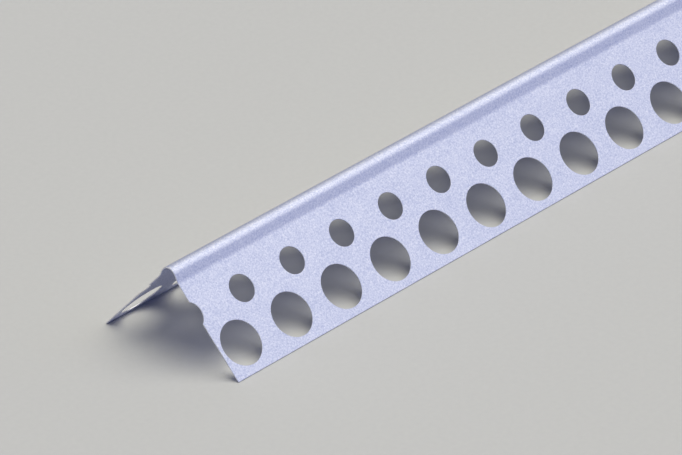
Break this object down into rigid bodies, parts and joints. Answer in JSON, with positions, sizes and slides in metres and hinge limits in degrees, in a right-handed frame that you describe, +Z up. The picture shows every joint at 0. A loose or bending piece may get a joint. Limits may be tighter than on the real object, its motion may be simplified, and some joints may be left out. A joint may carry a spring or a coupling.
{
  "type": "drywall corner bead",
  "caption": "Perforated zinc-coated steel angle with a raised round nose, nailed over an outside corner of wallboard to stiffen it and guide the joint compound.",
  "frame": {"origin": "on the floor under the middle of the bead's length, midway between the free edges of its legs", "axes": "+X along the bead, away from the end seen in the picture; +Y across it, from the leg seen in the picture to the other; +Z up through the nose"},
  "size_m": [2.44, 0.0432, 0.023],
  "materials": {
    "zinc_coated_steel": "satin zinc coat with a fine grain"
  },
  "bodies": {
    "root": {"corner_bead": "zinc_coated_steel"}
  },
  "joints": []
}
